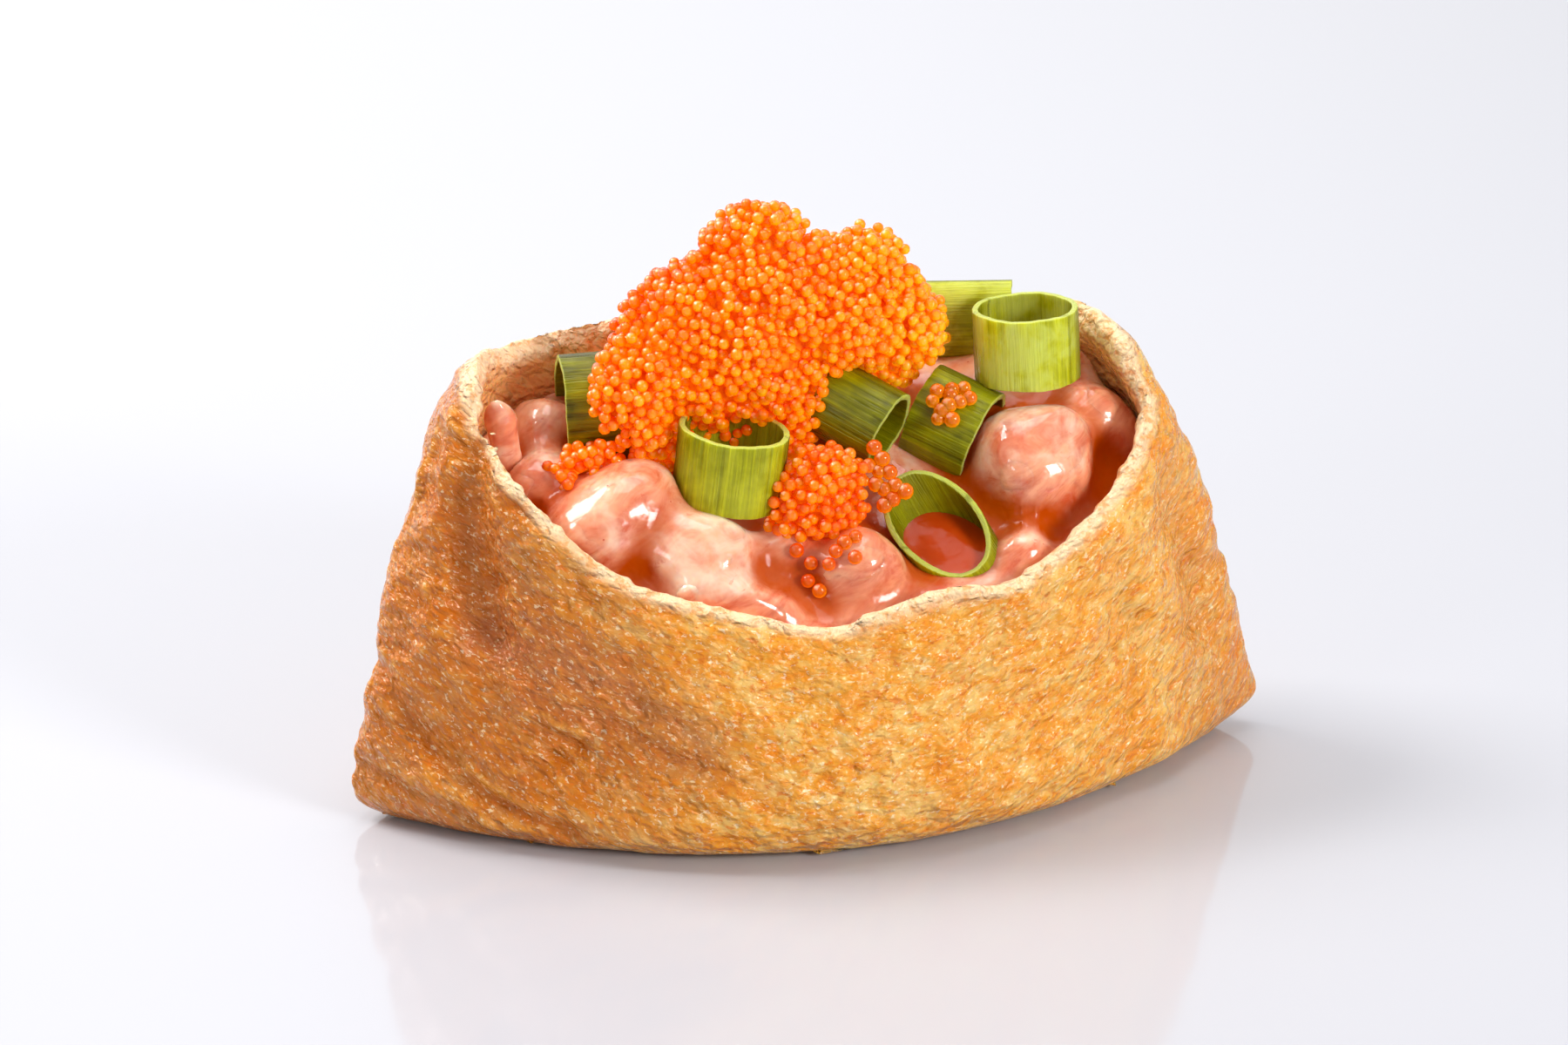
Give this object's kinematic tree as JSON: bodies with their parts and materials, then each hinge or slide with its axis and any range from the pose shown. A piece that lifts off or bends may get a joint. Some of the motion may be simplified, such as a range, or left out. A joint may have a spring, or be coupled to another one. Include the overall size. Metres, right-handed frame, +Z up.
{
  "type": "inari sushi",
  "caption": "Inari sushi: an open pouch of fried tofu filled with shrimp in a creamy sauce, topped with cut scallion rings and a heap of orange flying fish roe",
  "frame": {"origin": "on the table, under the middle of the pouch", "axes": "+X along the long side of the pouch, -Y towards its low front rim, +Z up"},
  "size_m": [0.0789, 0.038, 0.0479],
  "materials": {
    "fried_tofu": "golden-brown fried skin, oily and pebbly",
    "creamy_sauce": "wet, creamy pink-orange",
    "shrimp": "wet, pink with cream",
    "scallion": "fresh green, slightly wet",
    "fish_roe": "wet, translucent orange"
  },
  "bodies": {
    "root": {"tofu_pouch": "fried_tofu", "scallion_ring_front": "scallion", "scallion_ring_left": "scallion", "scallion_ring_middle": "scallion", "scallion_ring_centre_right": "scallion", "scallion_ring_right": "scallion", "scallion_ring_back": "scallion", "scallion_ring_slanted": "scallion", "shrimp_tail_left": "shrimp", "shrimp_deep_left": "shrimp", "shrimp_low_left": "shrimp", "shrimp_curl": "shrimp", "shrimp_round_front": "shrimp", "shrimp_strip_front": "shrimp", "shrimp_front_middle": "shrimp", "shrimp_under_roe": "shrimp", "shrimp_big_right": "shrimp", "shrimp_right_edge": "shrimp", "shrimp_back_right": "shrimp", "shrimp_low_right": "shrimp", "creamy_sauce": "creamy_sauce", "roe_heap": "fish_roe", "roe_cluster_left": "fish_roe", "roe_cluster_front": "fish_roe", "roe_group_middle": "fish_roe", "roe_group_right": "fish_roe"}
  },
  "joints": []
}
